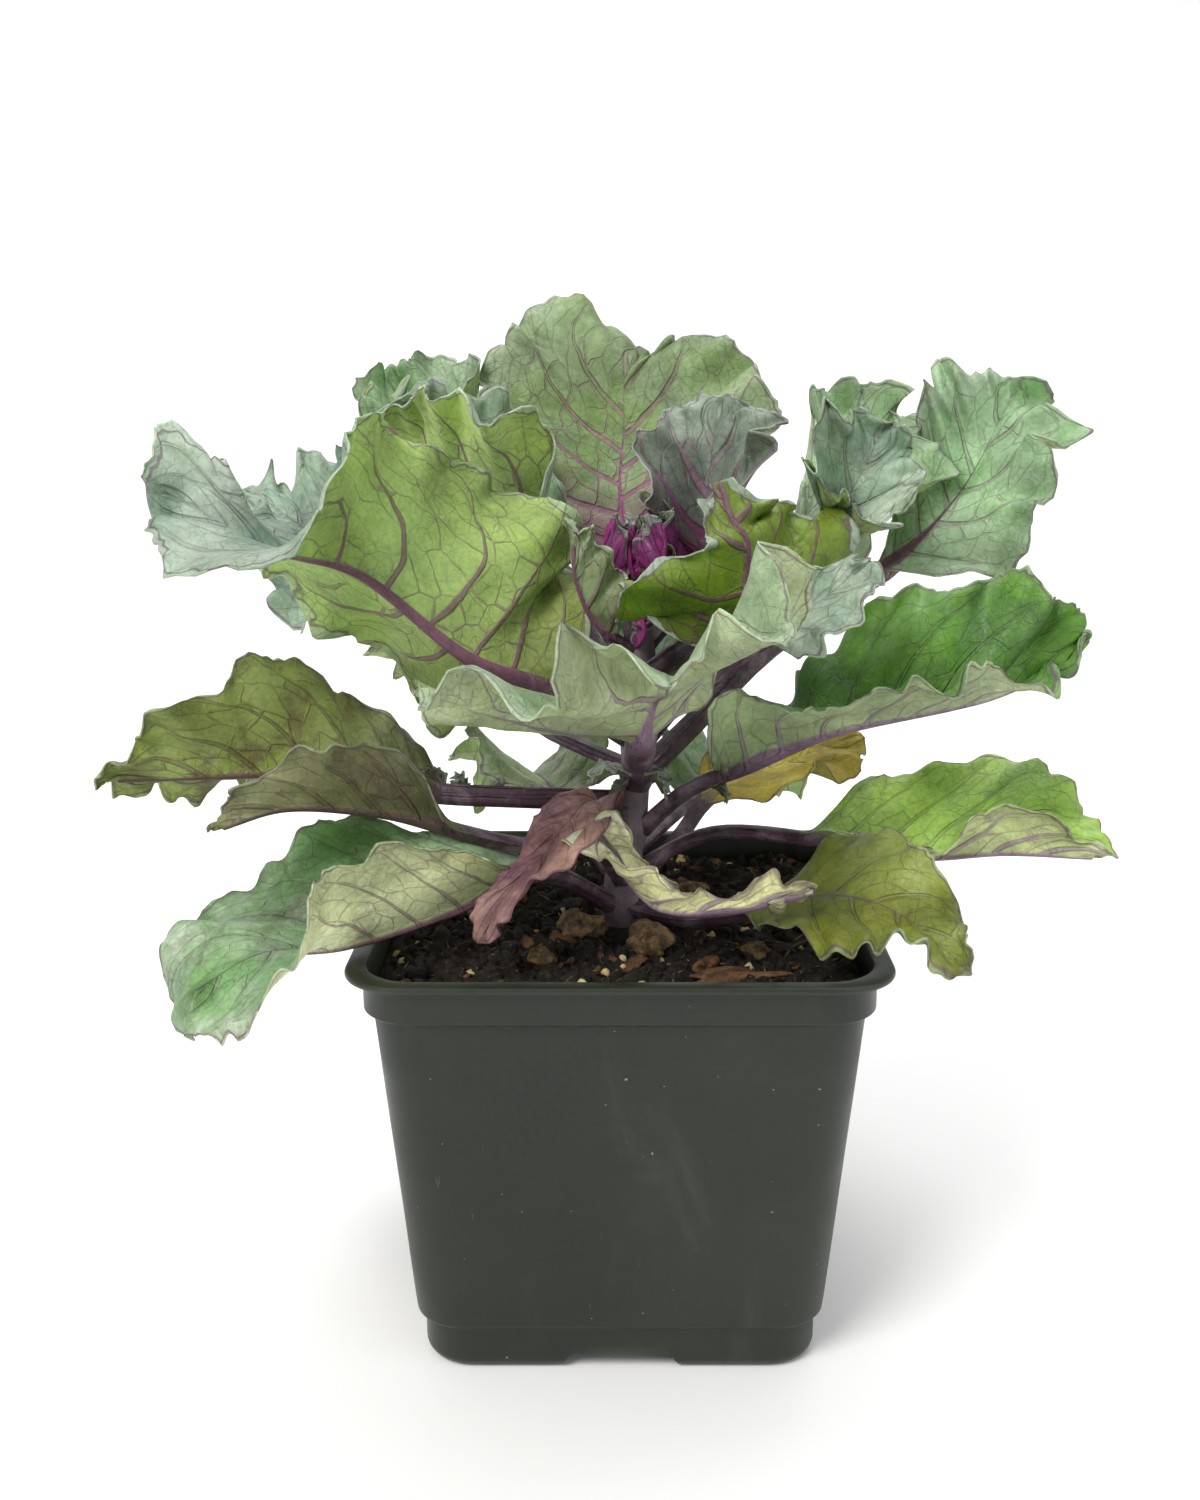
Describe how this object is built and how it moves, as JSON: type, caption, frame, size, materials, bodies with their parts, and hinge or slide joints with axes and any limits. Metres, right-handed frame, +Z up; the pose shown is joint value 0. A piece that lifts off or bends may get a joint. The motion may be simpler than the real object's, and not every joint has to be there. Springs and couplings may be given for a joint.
{
  "type": "potted ornamental kale",
  "caption": "Young ornamental kale plant with broad, waved leaves on a short upright stem, growing in soil in a square plastic nursery pot.",
  "frame": {"origin": "middle of the pot's foot, on the surface it stands on", "axes": "+Z up; the plant's fuller face looks along -Y; X runs along the pot's front side"},
  "size_m": [0.2263, 0.1787, 0.236],
  "materials": {
    "pot": "dark grey-green moulded plastic, satin, lightly scuffed",
    "soil": "damp peat potting mix, rough",
    "stem": "soft purple stem, faint waxy bloom",
    "heart": "young leaf, magenta veins under a blue-grey bloom",
    "leaf_green": "leaf, satin, with a thin waxy bloom",
    "leaf_blue_green": "leaf, satin, with a heavy waxy bloom",
    "leaf_olive": "leaf, satin, blotched",
    "leaf_pale": "leaf, satin, pale under side",
    "leaf_yellow": "leaf turning yellow, satin",
    "leaf_dry": "withered leaf, matt"
  },
  "bodies": {
    "root": {"pot": "pot", "soil": "soil", "stem": "stem", "heart": "heart", "leaf_left_low": "leaf_green", "leaf_left_inner": "leaf_olive", "leaf_left_mid": "leaf_olive", "leaf_left_front": "leaf_blue_green", "leaf_front_mid": "leaf_pale", "leaf_cup_front": "leaf_olive", "leaf_right_mid": "leaf_green", "leaf_right_lower": "leaf_green", "leaf_right_low": "leaf_olive", "leaf_front_low": "leaf_pale", "leaf_pink_dry": "leaf_dry", "leaf_right_back": "leaf_blue_green", "leaf_right_inner": "leaf_blue_green", "leaf_right_lobe": "leaf_blue_green", "leaf_right_rear": "leaf_green", "leaf_back_top": "leaf_green", "leaf_heart_back": "heart", "leaf_heart_left": "leaf_blue_green", "leaf_left_upper": "leaf_green", "leaf_back_left": "leaf_green", "leaf_left_back": "leaf_blue_green", "leaf_left_behind": "leaf_pale", "leaf_yellow": "leaf_yellow", "leaf_back_mid": "leaf_green", "leaf_back_low": "leaf_olive", "leaf_right_rear_low": "leaf_green"}
  },
  "joints": []
}
